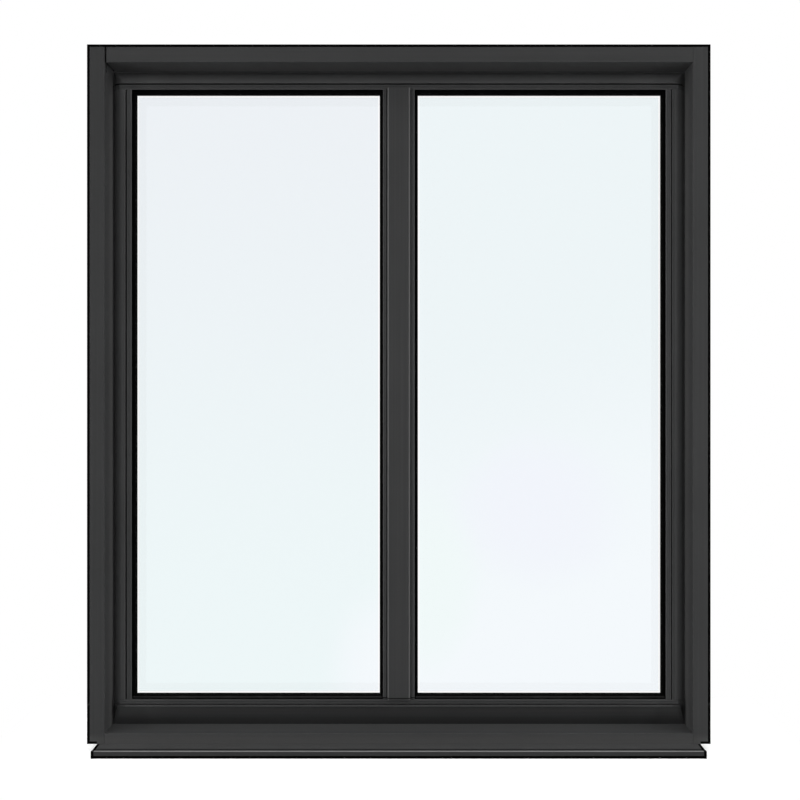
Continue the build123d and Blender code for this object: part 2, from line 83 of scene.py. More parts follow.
# Studio
FLOOR_SIZE = 40.0
FLOOR_TONE = 0.5
FLOOR_GLOW = 0.58
SHADOW_REACH = (0.02, 0.20)  # distance from the window over which the floor turns plain white
AMBIENT_LIGHT = 0.06
SIDE_PANEL_SIZE = (2.4, 2.8)
SIDE_PANEL_PLACE = (3.4, -1.0, 0.95)
SIDE_PANEL_POWER = 180.0
TOP_PANEL_SIZE = (6.0, 3.0)
TOP_PANEL_PLACE = (0.0, -2.5, 8.0)
TOP_PANEL_POWER = 360.0
FRONT_PANEL_SIZE = (4.0, 1.2)
FRONT_PANEL_PLACE = (0.0, -2.6, 0.62)
FRONT_PANEL_POWER = 10.0
ROOM_PANEL_SIZE = (3.0, 2.0)
ROOM_PANEL_PLACE = (0.0, 3.4, 2.4)
ROOM_PANEL_POWER = 110.0

# Bead screws on the room side
SCREW_HEAD_SIDES = 24
SCREW_HEAD_RADIUS = 0.0036
SCREW_HEAD_SINK = 0.0006
SCREW_RIM_HEIGHT = 0.0005
SCREW_DOME_STEPS = ((0.00080, 0.0005), (0.00048, 0.0001))  # width and rise of each
SCREW_SOCKET_SIDES = 6
SCREW_SOCKET_RADIUS = 0.0014
SCREW_SOCKET_DEPTH = 0.0009
SCREW_SMOOTH_ANGLE = radians(35)
SCREW_TURN = 0.7  # how far each screw is turned past the one before it
SCREW_END_DISTANCE = 0.070
SCREW_SPACING = 0.240
SCREW_TOP_FACING = 0.9  # how squarely a screw's top looks into the room
BEAD_FLAT_MIDDLE = 0.0055  # from a bead's outer edge to the middle of its flat strip

# Powder coat: patterns in cells to the metre, and the greys of the paint and of the dust, light and shade
# painted on it
DRAWN_CELLS_ALONG = 1.6
DRAWN_CELLS_ACROSS = 260.0
CLOUD_CELLS = 4.5
GRAIN_CELLS = 2600.0
PEEL_CELLS = 900.0
DUST_CELLS = 34.0
PAINT_SHARES = (0.45, 0.35, 0.2)  # of drawn lines, clouds and grain in the paint's pattern
PAINT_CONTRAST = (0.3, 0.7)
PAINT_TONES = (0.0310, 0.0385)
PAINT_WARMTH = -0.01
EVEN_DUST = 0.55  # the share of the dust and painted light on level faces that isn't in patches
DUST_CONTRAST = (0.3, 0.75)
# Greys of the dust and painted light on level faces, of painted shade, and of the painted shade along
# joints
DUST_AND_LIGHT_TONE = 0.075
DUST_AND_LIGHT_WARMTH = 0.01
PAINTED_SHADE_TONE = 0.003
JOINT_SHADE_TONE = 0.002
COAT_GLOSS = 0.07
COAT_ROUGHNESS = 0.26
DRAWN_ROUGHNESS = 0.06
GRAIN_ROUGHNESS = 0.04
DUST_ROUGHNESS = 0.15
DRAWN_RELIEF = 0.5  # of the drawn lines beside the orange peel
PEEL_STRENGTH = 0.22
PEEL_DEPTH = 0.00012

# How squarely a face looks one way, from where a layer starts on it to where the layer is full
SQUARE_ON = (0.6, 1.0)
FRONT_ON = (0.5, 0.8)
SLANT_ON = (0.42, 0.55)
PARTLY_ON = (0.3, 0.5)
OFF_STRAIGHT = (0.99, 0.975)

# Dust and painted light: heights between which painted light thickens towards the foot of the frame, down
# to the cill's top, depths between which painted light thickens towards the back of the reveal, and
# heights between which it fades under the head, which leaves painted shade there
LEVEL_DUST_AND_LIGHT_SHARE = 0.2
FOOT_LIGHT_SHARE = 0.45
FOOT_LIGHT_HEIGHTS = past(CILL_TOP, 0.024, 0.002)
FOOT_LIGHT_END = past(CILL_TOP, -0.002, 0.0)
REVEAL_DEPTHS = (0.012, 0.056)
REVEAL_LIGHT_HEIGHTS = past(HEAD_EDGE, -0.005, -0.070)
REVEAL_INSET = 0.02  # from the frame's outer edge to where a side face is surely a reveal

# Heights and depths between which painted shade thickens towards the reveal's lower back corners
CORNER_SHARE = 0.75
CORNER_HEIGHTS = past(SILL_EDGE, 0.073, 0.037)
CORNER_DEPTHS = past(STILE_FACE, -0.003, 0.003)

# Depths of the narrow grooves round the panes, where shade is painted
GROOVE_MOUTH = past(STILE_FACE, 0.0015, 0.0025)
GROOVE_FLOOR = past(STILE_FACE, 0.0085, 0.0075)

# Heights between which painted shade thickens towards the foot of the sash. It reaches higher in the
# corners beside the jambs.
SASH_FOOT_HEIGHTS = past(SILL_EDGE, 0.033, 0.003)
SASH_CORNERS = past(JAMB_EDGE, -0.018, -0.008)
SASH_CORNER_HEIGHTS = past(SILL_EDGE, 0.041, 0.033)

# The cill's nose: heights and depths of the highlight painted along its top edge, the heights of its
# front, which is painted darker as shade, and the depths of the shade painted behind it
NOSE_HIGHLIGHT_HEIGHTS = past(CILL_TOP, -0.0011, -0.0007)
NOSE_HIGHLIGHT_DEPTHS = past(CILL_NOSE, 0.0030, 0.0022)
NOSE_FRONT = past(CILL_TOP, -0.008, -0.001)
NOSE_SHADE_DEPTHS = past(CILL_NOSE, 0.0095, 0.0145)
NOSE_SHADE_SHARE = 0.72
NOSE_SHADE_EDGE = 0.0008

# Strips painted paler or darker as light and shade. Those of the upright sash bars, from the window's
# middle:
# the lips beside the glass, the edge along a groove, painted dark, the flats and the curves. Those of the
# head and the top rail are at a height; the head's reveal is painted paler.
MULLION_LIPS = past(MULLION_EDGE, -0.0068, 0.0020)
STILE_LIPS = past(STILE_EDGE, -0.0020, 0.0108)
STILE_GROOVE_EDGE = past(STILE_EDGE, 0.0093, 0.0108)
STILE_FLATS = past(STILE_EDGE, 0.0125, 0.0172)
STILE_CURVES = past(STILE_EDGE, 0.0172, 0.0400)
TOP_GROOVE_EDGE = past(TOP_RAIL_EDGE, 0.0093, 0.0105)
HEAD_REVEAL = past(HEAD_EDGE, -0.0020, 0.0003)
STRIP_EDGE = 0.0003

# Joints painted with shade: the mullion's foot beside the bottom rail's lip, by height, and the head's
# left end along its open joint, by distance to the right of the window's middle
MULLION_FOOT = ("Z", *past(BOTTOM_RAIL_EDGE, 0.0025, 0.0048))
HEAD_JOINT = ("X", *past(-JAMB_EDGE, 0.0, 0.0037))

# Where light is painted on the sash bars, paler towards the corners: rails beside the jambs, stiles under
# the head
RAIL_ENDS = past(JAMB_EDGE, -0.14, -0.01)
STILE_TOPS = past(HEAD_EDGE, -0.155, -0.015)

# How single pieces differ from the frame's coating, all of it painted light and shade: its shade as a
# level of painted light, dust and light kept to the back of the reveal, painted light in the jambs'
# reveals, strips painted paler or darker, painted light towards the ends, the share and tone of painted
# light on its slanted edges, the share and tone of the painted highlight on the cill's nose, the share of
# painted shade, and joints painted with shade
FRAME_SHADE = 0.95
PAINTED_LIGHT_BY_PIECE = {
    "left_jamb_outer_shell": {"shade": 0.88, "reveal_light": 0.60},
    "right_jamb_outer_shell": {"reveal_light": 0.50},
    "head_outer_shell": {"strips": {HEAD_REVEAL: 1.22}, "shaded_joint": HEAD_JOINT},
    "bottom_rail_outer_shell": {"shade": 1.12, "slant_light": (0.6, 0.028), "light_to_back": True},
    "sash_left_stile": {
        "shade": 1.50, "groove_shade": 0.9, "lit_ends": (STILE_TOPS, 1.6),
        "strips": {STILE_LIPS: 1.15, STILE_GROOVE_EDGE: 0.25, STILE_CURVES: 1.2},
    },
    "sash_right_stile": {
        "shade": 1.50, "lit_ends": (STILE_TOPS, 1.4),
        "strips": {STILE_LIPS: 1.2, STILE_FLATS: 0.85, STILE_CURVES: 1.38},
    },
    "sash_top_rail": {
        "shade": 1.22, "groove_shade": 0.9, "lit_ends": (RAIL_ENDS, 1.75),
        "strips": {TOP_GROOVE_EDGE: 0.25},
    },
    "sash_bottom_rail": {"shade": 1.0, "foot_shade": 0.43, "lit_ends": (RAIL_ENDS, 1.7)},
    "sash_mullion": {"slant_light": (0.30, 0.15), "strips": {MULLION_LIPS: 1.4}, "shaded_joint": MULLION_FOOT},
    "cill": {"shade": 1.06, "strips": {NOSE_FRONT: 0.72}, "nose_light_and_shade": (0.70, 0.21)},
}

# Black rubber, with the heights of a painted highlight along the foot of the gaskets
SKIN_CELLS = 1500.0
BLOOM_CELLS = 22.0
BLOOM_CONTRAST = (0.45, 0.75)
RUBBER_TONE = 0.0012
BLOOM_TONE = 0.0040
BLOOM_WARMTH = 0.01
BLOOM_SHARE = 0.5
GASKET_HIGHLIGHT_TONE = 0.026
GASKET_HIGHLIGHT_SHARE = 0.6  # where there is no bloom
GASKET_BAND = past(BOTTOM_RAIL_EDGE, 0.0030, 0.0062)
GASKET_BAND_EDGE = 0.0006
RUBBER_GLOSS = 0.005
RUBBER_ROUGHNESS = 0.62
BLOOM_ROUGHNESS = 0.2
SKIN_ROUGHNESS = 0.1
SKIN_STRENGTH = 0.25
SKIN_DEPTH = 0.00010

# Black polyamide
FIBRE_CELLS = (1400.0, 300.0, 300.0)
FIBRE_CONTRAST = (0.55, 0.8)
POLYAMIDE_TONE = 0.0012
FIBRE_TONE = 0.0045
POLYAMIDE_GLOSS = 0.003
POLYAMIDE_ROUGHNESS = 0.52
FIBRE_ROUGHNESS = 0.2
FIBRE_STRENGTH = 0.2
FIBRE_DEPTH = 0.00008

# Panes
GASKET_WIDTH = 0.0156  # from the outer gasket's own edge to the clear view
BOTTOM_GASKET_WIDTH = 0.0168
CLEAR_EDGE = (0.00288, 0.00432)  # from the gasket to where the tinted layer starts and is full
GLASS_IOR = 1.5
DAYLIGHT_TINT = (0.88, 0.91, 0.92, 1.0)  # what passes through a pane into the shadow

# Tint of the panes, with painted reflections that change it and cloud it: heights between which it turns
# from the top's to the foot's, how much of the foot's the whole right pane has, and its clouds, each with
# its middle and its reach across and up
DRIFT_CELLS = 2.6
DRIFT_REACH = 0.10
TOP_TINT = (0.845, 0.880, 0.915, 1.0)
FOOT_TINT = (0.850, 0.928, 0.938, 1.0)
TINT_HEIGHTS = (1.40, 0.15)
RIGHT_PANE_SIDE = (-0.02, 0.02)
RIGHT_PANE_GREENER = 0.65
PALE_REFLECTION = (0.905, 0.945, 0.975, 1.0)
PALE_HEIGHTS = (0.78, 0.10)
PALE_SLOPE = 0.35
PALE_CORNER = ((-0.02, 0.10), (0.16, 0.24))
LILAC_REFLECTION = (0.885, 0.908, 0.970, 1.0)
LILAC_SHARE = 0.85
LILAC_CLOUD = ((0.28, 0.47), (0.20, 0.19))
SEA_REFLECTION = (0.870, 0.948, 0.938, 1.0)
SEA_SHARE = 0.8
SEA_CLOUD = ((0.06, 0.31), (0.12, 0.22))


# Shader maths

class Wire:
    """An output socket of a node tree. Arithmetic on it adds Math nodes."""

    def __init__(self, shading, socket):
        self.shading = shading
        self.socket = socket

    def maths(self, operation, first, second=0.0):
        return self.shading.node("ShaderNodeMath", {"operation": operation}, {0: first, 1: second})

    def __add__(self, other):
        return self.maths("ADD", self, other)

    def __radd__(self, other):
        return self.maths("ADD", other, self)

    def __sub__(self, other):
        return self.maths("SUBTRACT", self, other)

    def __rsub__(self, other):
        return self.maths("SUBTRACT", other, self)

    def __mul__(self, other):
        return self.maths("MULTIPLY", self, other)

    def __rmul__(self, other):
        return self.maths("MULTIPLY", other, self)

    def __truediv__(self, other):
        return self.maths("DIVIDE", self, other)

    def __rtruediv__(self, other):
        return self.maths("DIVIDE", other, self)

    def __abs__(self):
        return self.maths("ABSOLUTE", self)

    def most(self, other):
        return self.maths("MAXIMUM", self, other)

    def least(self, other):
        return self.maths("MINIMUM", self, other)


class Shading:
    """A node tree that is built up node by node."""

    def __init__(self, tree):
        self.tree = tree
        tree.nodes.clear()

    def node(self, kind, settings=None, inputs=None, output=0):
        """Adds a node, sets it, fills its sockets with values or wires, and returns its outputs."""
        made = self.tree.nodes.new(kind)
        for key, value in (settings or {}).items():
            setattr(made, key, value)
        for key, value in (inputs or {}).items():
            if isinstance(value, Wire):
                self.tree.links.new(value.socket, made.inputs[key])
            else:
                made.inputs[key].default_value = value
        if isinstance(output, tuple):
            return [Wire(self, made.outputs[name]) for name in output]
        return Wire(self, made.outputs[output]) if made.outputs else None

    def place(self):
        return self.node("ShaderNodeTexCoord", output="Object")

    def axes(self, vector):
        """A place's or direction's shares to the right, into the room and up."""
        return self.node("ShaderNodeSeparateXYZ", None, {0: vector}, output=("X", "Y", "Z"))

    def stretched(self, scale):
        return self.node("ShaderNodeMapping", None, {"Vector": self.place(), "Scale": scale})

    def noise(self, scale, detail=2.0, at=None, roughness=0.5):
        """Cloudy pattern from 0 to 1, with this many cells to the metre."""
        inputs = {"Vector": at or self.place(), "Scale": scale, "Detail": detail, "Roughness": roughness}
        return self.node("ShaderNodeTexNoise", None, inputs)

    def between(self, value, low, high):
        """0 at low, 1 at high, with a soft run in between."""
        settings = {"interpolation_type": "SMOOTHSTEP"}
        inputs = {"Value": value, "From Min": low, "From Max": high}
        return self.node("ShaderNodeMapRange", settings, inputs)

    def band(self, value, low, high, soft):
        """1 from low to high, 0 outside."""
        return self.between(value, low - soft, low + soft) * self.between(value, high + soft, high - soft)

    def blend(self, share, first, second):
        """Mixes two colours."""
        return self.node("ShaderNodeMix", {"data_type": "RGBA"}, {0: share, 6: first, 7: second}, output=2)

    def times(self, share, first, second):
        """Multiplies two colours, where the share is 1."""
        settings = {"data_type": "RGBA", "blend_type": "MULTIPLY"}
        return self.node("ShaderNodeMix", settings, {0: share, 6: first, 7: second}, output=2)

    def bump(self, height, strength, distance):
        inputs = {"Height": height, "Strength": strength, "Distance": distance}
        return self.node("ShaderNodeBump", None, inputs)

    def seen(self):
        """1 for what is seen directly, in a reflection or through glass, 0 for light on other things."""
        rays = ("Is Camera Ray", "Is Glossy Ray", "Is Transmission Ray")
        camera, glossy, through = self.node("ShaderNodeLightPath", output=rays)
        return camera.most(glossy).most(through)

    def principled(self, inputs):
        return self.node("ShaderNodeBsdfPrincipled", None, inputs)

    def close(self, surface):
        """Makes a shader the material's surface."""
        self.node("ShaderNodeOutputMaterial", None, {"Surface": surface})


def grey(level, warmth=0.0):
    return (level * (1 + warmth), level, level * (1 - warmth), 1.0)


def new_material(name):
    material = bpy.data.materials.new(name)
    material.use_nodes = True
    return material


# Finishes

class BarCoat(Shading):
    """Powder coat on a bar along one axis. Each layer lies over the colour of those before it."""

    def __init__(self, tree, along, shade):
        """Reads places and directions on the bar, and paints it with drawn lines, clouds and grain at a
        level of painted light.
        """
        super().__init__(tree)
        self.x, self.depth, self.height = self.axes(self.place())
        facing = self.node("ShaderNodeNewGeometry", output="Normal")
        self.sideways, inward, self.upward = self.axes(facing)
        self.outward = 0.0 - inward
        upright = along == "Z"
        self.across_bar = abs(self.x) if upright else self.height
        self.along_bar = self.height if upright else abs(self.x)
        self.tilt = abs(self.sideways) if upright else self.upward

        cells = [DRAWN_CELLS_ACROSS] * 3
        cells["XYZ".index(along)] = DRAWN_CELLS_ALONG
        self.drawn = self.noise(1.0, detail=3.0, at=self.stretched(cells))
        self.grain = self.noise(GRAIN_CELLS, detail=1.0)
        lines, clouds, grains = PAINT_SHARES
        pattern = lines * self.drawn + clouds * self.noise(CLOUD_CELLS) + grains * self.grain
        # The shade multiplies the paint's tones; its differences between pieces are painted light and
        # shade
        dark, pale = (grey(tone * shade, PAINT_WARMTH) for tone in PAINT_TONES)
        self.colour = self.blend(self.between(pattern, *PAINT_CONTRAST), dark, pale)

        # Dust on level faces, which also paints them paler as painted light from above
        patches = self.between(self.noise(DUST_CELLS, detail=5.0, roughness=0.65), *DUST_CONTRAST)
        self.level = self.between(self.upward, *SQUARE_ON)
        self.level_dust_and_light = self.level * (EVEN_DUST + (1 - EVEN_DUST) * patches)

    def cover(self, share, tone, warmth=0.0):
        """Lays a grey over the colour."""
        self.colour = self.blend(share, self.colour, grey(tone, warmth))

    def retone(self, share, factor):
        """Makes the colour paler or darker."""
        self.colour = self.times(share, self.colour, grey(factor))

    def keep_light_to_back(self):
        """Dust and painted light on level faces stay only towards the back of the reveal, which paints its
        front darker.
        """
        self.level_dust_and_light = self.level_dust_and_light * self.between(self.depth, *REVEAL_DEPTHS)

    def dust_and_light(self, reveal_light):
        """Dust and painted light on level faces, and painted light on the foot of the frame and in the
        reveals.
        """
        # Painted light that makes the front faces paler towards the foot of the frame
        foot_light = self.between(self.height, *FOOT_LIGHT_HEIGHTS) * self.between(self.outward, *FRONT_ON)
        above_cill = self.between(self.height, *FOOT_LIGHT_END)
        dust_and_light = (LEVEL_DUST_AND_LIGHT_SHARE * self.level_dust_and_light).most(FOOT_LIGHT_SHARE * foot_light * above_cill)
        # Painted light in the jambs' reveals, paler towards the back and fading under the head into
        # painted shade
        if reveal_light:
            below_head = self.between(self.height, *REVEAL_LIGHT_HEIGHTS)
            to_back = self.between(self.depth, *REVEAL_DEPTHS)
            dust_and_light = dust_and_light.most(reveal_light * self.reveal() * below_head * to_back)
        self.cover(dust_and_light, DUST_AND_LIGHT_TONE, DUST_AND_LIGHT_WARMTH)

    def reveal(self):
        """1 on the side of a jamb that faces the panes."""
        from_edge = self.between(abs(self.x), cad_high.x, cad_high.x - REVEAL_INSET)
        return self.between(abs(self.sideways), *SQUARE_ON) * from_edge

    def corner_shade(self):
        """Painted shade in the lower back corners of the reveal."""
        low = self.between(self.height, *CORNER_HEIGHTS)
        back = self.between(self.depth, *CORNER_DEPTHS)
        self.cover(CORNER_SHARE * self.reveal() * low * back, PAINTED_SHADE_TONE)

    def strip(self, reach, factor):
        # Paints a strip across the bar paler or darker, as light and shade
        self.retone(self.band(self.across_bar, *reach, STRIP_EDGE), factor)

    def paint_light_at_ends(self, reach, factor):
        # Paints light on the bar towards its ends
        self.retone(self.between(self.along_bar, *reach), factor)

    def light_slanted_edges(self, share, tone):
        # Paints light along the slanted edges: a highlight where the tone is pale, shade where it is dark
        slanted = self.between(self.tilt, *SLANT_ON) * self.between(self.outward, *SLANT_ON)
        self.cover(share * slanted, tone)

    def nose_light_and_shade(self, share, tone):
        """Painted highlight along the top edge of the cill's nose, and painted shade behind it."""
        highlit = self.between(self.height, *NOSE_HIGHLIGHT_HEIGHTS) * self.between(self.depth, *NOSE_HIGHLIGHT_DEPTHS)
        self.cover(share * highlit, tone)
        behind = self.band(self.depth, *NOSE_SHADE_DEPTHS, NOSE_SHADE_EDGE) * self.level
        self.cover(NOSE_SHADE_SHARE * behind, PAINTED_SHADE_TONE)

    def foot_shade(self, share):
        """Painted shade along the foot of the sash and up into its corners."""
        foot = self.between(self.height, *SASH_FOOT_HEIGHTS)
        beside_jambs = self.between(abs(self.x), *SASH_CORNERS)
        corners = beside_jambs * self.between(self.height, *SASH_CORNER_HEIGHTS)
        self.cover(share * foot.most(corners), PAINTED_SHADE_TONE)

    def shade_joint(self, axis, low, high):
        # Paints shade along a joint, on faces that look partly out
        end = self.band(self.x if axis == "X" else self.height, low, high, STRIP_EDGE)
        self.cover(end * self.between(self.outward, *PARTLY_ON), JOINT_SHADE_TONE)

    def groove_shade(self, share):
        """Painted shade in the grooves round the panes, but not on the curved faces beside them."""
        inside = self.between(self.depth, *GROOVE_MOUTH) * self.between(self.depth, *GROOVE_FLOOR)
        curved = self.between(self.outward, *PARTLY_ON) * self.between(self.outward, *OFF_STRAIGHT)
        self.cover(share * inside * (1.0 - curved), PAINTED_SHADE_TONE)

    def close_coat(self):
        """Closes the material with a matt skin of orange peel."""
        roughness = COAT_ROUGHNESS + DRAWN_ROUGHNESS * self.drawn + GRAIN_ROUGHNESS * self.grain
        relief = self.noise(PEEL_CELLS) + DRAWN_RELIEF * self.drawn
        self.close(self.principled({
            "Base Color": self.colour,
            "Roughness": roughness + DUST_ROUGHNESS * self.level_dust_and_light,
            "Specular IOR Level": COAT_GLOSS,
            "Normal": self.bump(relief, PEEL_STRENGTH, PEEL_DEPTH),
        }))


def anthracite_coating(name, along, shade=FRAME_SHADE, light_to_back=False, reveal_light=0.0, strips=None,
                       lit_ends=None, slant_light=None, nose_light_and_shade=None, foot_shade=0.0, shaded_joint=None,
                       groove_shade=0.0):
    """Matt powder coat on a bar along the given axis. Dust lies on it, and light and shade are painted for
    its place.
    """
    material = new_material(name)
    coat = BarCoat(material.node_tree, along, shade)
    if light_to_back:
        coat.keep_light_to_back()
    coat.dust_and_light(reveal_light)
    if reveal_light:
        coat.corner_shade()
    for reach, factor in (strips or {}).items():
        coat.strip(reach, factor)
    if lit_ends:
        coat.paint_light_at_ends(*lit_ends)
    if slant_light:
        coat.light_slanted_edges(*slant_light)
    if nose_light_and_shade:
        coat.nose_light_and_shade(*nose_light_and_shade)
    if foot_shade:
        coat.foot_shade(foot_shade)
    if shaded_joint:
        coat.shade_joint(*shaded_joint)
    if groove_shade:
        coat.groove_shade(groove_shade)
    coat.close_coat()
    return material


def black_rubber():
    """Dull black rubber with a fine moulded skin, a faint powdery bloom and a painted highlight along the
    gaskets' foot.
    """
    material = new_material("black_rubber_finish")
    rubber = Shading(material.node_tree)
    skin = rubber.noise(SKIN_CELLS, detail=3.0)
    bloom = rubber.between(rubber.noise(BLOOM_CELLS, detail=4.0, roughness=0.6), *BLOOM_CONTRAST)
    black = rubber.blend(BLOOM_SHARE * bloom, grey(RUBBER_TONE), grey(BLOOM_TONE, BLOOM_WARMTH))
    height = rubber.axes(rubber.place())[2]
    foot = rubber.band(height, *GASKET_BAND, GASKET_BAND_EDGE)
    gasket_highlight = foot * (GASKET_HIGHLIGHT_SHARE + (1 - GASKET_HIGHLIGHT_SHARE) * bloom)
    rubber.close(rubber.principled({
        "Base Color": rubber.blend(gasket_highlight, black, grey(GASKET_HIGHLIGHT_TONE)),
        "Roughness": RUBBER_ROUGHNESS + BLOOM_ROUGHNESS * bloom + SKIN_ROUGHNESS * skin,
        "Specular IOR Level": RUBBER_GLOSS,
        "Normal": rubber.bump(skin, SKIN_STRENGTH, SKIN_DEPTH),
    }))
    return material


def black_polyamide():
    """Black plastic with short glass fibres that show as faint flecks."""
    material = new_material("black_polyamide_finish")
    plastic = Shading(material.node_tree)
    fibres = plastic.noise(1.0, at=plastic.stretched(FIBRE_CELLS))
    flecks = plastic.between(fibres, *FIBRE_CONTRAST)
    plastic.close(plastic.principled({
        "Base Color": plastic.blend(flecks, grey(POLYAMIDE_TONE), grey(FIBRE_TONE)),
        "Roughness": POLYAMIDE_ROUGHNESS + FIBRE_ROUGHNESS * fibres,
        "Specular IOR Level": POLYAMIDE_GLOSS,
        "Normal": plastic.bump(fibres, FIBRE_STRENGTH, FIBRE_DEPTH),
    }))
    return material


def tinted_part(glass, x, y, z):
    """1 over the tinted layer on a pane's outside face, 0 along the gasket and on the room face."""
    low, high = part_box("right_outer_gasket")
    to_side = (abs(x) - low.x).least(high.x - abs(x)) - GASKET_WIDTH
    to_end = (z - low.z - BOTTOM_GASKET_WIDTH).least(high.z - GASKET_WIDTH - z)
    within = glass.between(to_side.least(to_end), *CLEAR_EDGE)
    glass_low, glass_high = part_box("right_armoured_glass")
    outside = glass.between(y, glass_high.y, glass_low.y)
    return within * outside


def soft_spot(glass, x, z, middle, reach):
    """1 at a place on the panes, fading to 0 at its reach across and up."""
    across = (x - middle[0]) / reach[0]
    up = (z - middle[1]) / reach[1]
    return glass.between(across * across + up * up, 1.0, 0.0)


def pane_tint_and_reflections(glass, x, z):
    """Faint cool tint, turned greener down the panes and clouded paler, lilac and sea-green by painted
    reflections.
    """
    drift = DRIFT_REACH * (glass.noise(DRIFT_CELLS) - 0.5)
    right_pane = glass.between(x, *RIGHT_PANE_SIDE)
    greener = glass.between(z + drift, *TINT_HEIGHTS).most(RIGHT_PANE_GREENER * right_pane)
    tint = glass.blend(greener, TOP_TINT, FOOT_TINT)
    corner = soft_spot(glass, x + drift, z, *PALE_CORNER)
    foot = glass.between(z - PALE_SLOPE * x + drift, *PALE_HEIGHTS)
    tint = glass.blend((right_pane * foot).most(corner), tint, PALE_REFLECTION)
    lilac = soft_spot(glass, x + drift, z - drift, *LILAC_CLOUD)
    tint = glass.blend(LILAC_SHARE * lilac, tint, LILAC_REFLECTION)
    sea = soft_spot(glass, x - drift, z + drift, *SEA_CLOUD)
    return glass.blend(SEA_SHARE * sea, tint, SEA_REFLECTION)


def armoured_glass():
    """Clear laminate with a tinted layer near its outside face, which also carries painted reflections."""
    material = new_material("armoured_glass_finish")
    glass = Shading(material.node_tree)
    x, y, z = glass.axes(glass.place())
    film = pane_tint_and_reflections(glass, x, z)
    doubled = glass.times(1.0, film, film)  # light crosses the tinted layer on one face only
    body = glass.principled({
        "Base Color": glass.blend(tinted_part(glass, x, y, z), grey(1.0), doubled),
        "Roughness": 0.0,
        "IOR": GLASS_IOR,
        "Transmission Weight": 1.0,
    })
    daylight = glass.node("ShaderNodeBsdfTransparent", None, {"Color": DAYLIGHT_TINT})
    shadow_ray = glass.node("ShaderNodeLightPath", output="Is Shadow Ray")
    glass.close(glass.node("ShaderNodeMixShader", None, {0: shadow_ray, 1: body, 2: daylight}))
    return material


def dress_cad_nodes(frame_coats):
    """Gives every carried-over piece the finish of its slot. Coated bars differ by run and by painted
    light and shade.
    """
    finishes = {
        "black_rubber": black_rubber(),
        "black_polyamide": black_polyamide(),
        "armoured_glass": armoured_glass(),
    }
    for subpart in frame["record"]["subparts"]:
        node = subpart["node"]
        slot = subpart["material_slot"]
        low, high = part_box(node)
        run = "Z" if high.z - low.z > high.x - low.x else "X"
        if slot in finishes:
            dressing = finishes[slot]
        elif node in PAINTED_LIGHT_BY_PIECE:
            dressing = anthracite_coating(f"{node}_coating", run, **PAINTED_LIGHT_BY_PIECE[node])
        else:
            dressing = frame_coats[run]
        mesh = frame["nodes"][node].data
        mesh.materials.clear()
        mesh.materials.append(dressing)


# Pieces modelled here

def start_piece():
    if bpy.context.object and bpy.context.object.mode != "OBJECT":
        bpy.ops.object.mode_set(mode="OBJECT")
    bpy.ops.object.select_all(action="DESELECT")


def select_faces(piece, wanted):
    """In edit mode, selects only the faces that the test wants."""
    bpy.ops.object.mode_set(mode="OBJECT")
    for edge in piece.data.edges:
        edge.select = False
    for vertex in piece.data.vertices:
        vertex.select = False
    for face in piece.data.polygons:
        face.select = wanted(face)
    bpy.ops.object.mode_set(mode="EDIT")
    bpy.ops.mesh.select_mode(type="FACE")


def select_open_edges():
    """In edit mode, selects only the edges where the mesh is open."""
    bpy.ops.mesh.select_all(action="DESELECT")
    bpy.ops.mesh.select_mode(type="EDGE")
    bpy.ops.mesh.select_non_manifold(extend=False, use_wire=False, use_boundary=True)


def screw_head():
    """Domed screw head with a hexagon socket, its seat at the origin and its top towards +Y."""
    start_piece()
    thickness = SCREW_HEAD_SINK + SCREW_RIM_HEIGHT
    bpy.ops.mesh.primitive_cylinder_add(
        vertices=SCREW_HEAD_SIDES, radius=SCREW_HEAD_RADIUS, depth=thickness,
        location=(0, thickness / 2 - SCREW_HEAD_SINK, 0), rotation=(-pi / 2, 0, 0),
    )
    head = bpy.context.object
    bpy.ops.object.transform_apply(location=True, rotation=True, scale=True)
    bpy.ops.object.mode_set(mode="EDIT")
    select_faces(head, lambda face: face.normal.y > SCREW_TOP_FACING)
    for width, rise in SCREW_DOME_STEPS:
        bpy.ops.mesh.inset(thickness=width, depth=rise)
    bpy.ops.mesh.delete(type="ONLY_FACE")

    top = SCREW_RIM_HEIGHT + sum(rise for width, rise in SCREW_DOME_STEPS)
    bpy.ops.mesh.select_all(action="DESELECT")
    bpy.ops.mesh.primitive_circle_add(
        vertices=SCREW_SOCKET_SIDES, radius=SCREW_SOCKET_RADIUS,
        location=(0, top, 0), rotation=(-pi / 2, 0, 0),
    )
    bpy.ops.mesh.extrude_edges_move(TRANSFORM_OT_translate={"value": (0, -SCREW_SOCKET_DEPTH, 0)})
    bpy.ops.mesh.edge_face_add()
    select_open_edges()
    bpy.ops.mesh.bridge_edge_loops()
    bpy.ops.mesh.select_all(action="SELECT")
    bpy.ops.mesh.normals_make_consistent(inside=False)
    bpy.ops.object.mode_set(mode="OBJECT")
    bpy.ops.object.shade_smooth_by_angle(angle=SCREW_SMOOTH_ANGLE)
    return head


def bead_places(pane, edge):
    """Screw places along the middle of a bead's flat strip, on its room face."""
    low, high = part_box(f"{pane}_pane_{edge}_bead")
    upright = edge in ("left", "right")
    length = high.z - low.z if upright else high.x - low.x
    count = round((length - 2 * SCREW_END_DISTANCE) / SCREW_SPACING) + 1
    step = (length - 2 * SCREW_END_DISTANCE) / (count - 1)
    for i in range(count):
        run = SCREW_END_DISTANCE + step * i
        if upright:
            x = low.x + BEAD_FLAT_MIDDLE if edge == "left" else high.x - BEAD_FLAT_MIDDLE
            yield Vector((x, high.y, low.z + run))
        else:
            z = high.z - BEAD_FLAT_MIDDLE if edge == "top" else low.z + BEAD_FLAT_MIDDLE
            yield Vector((low.x + run, high.y, z))


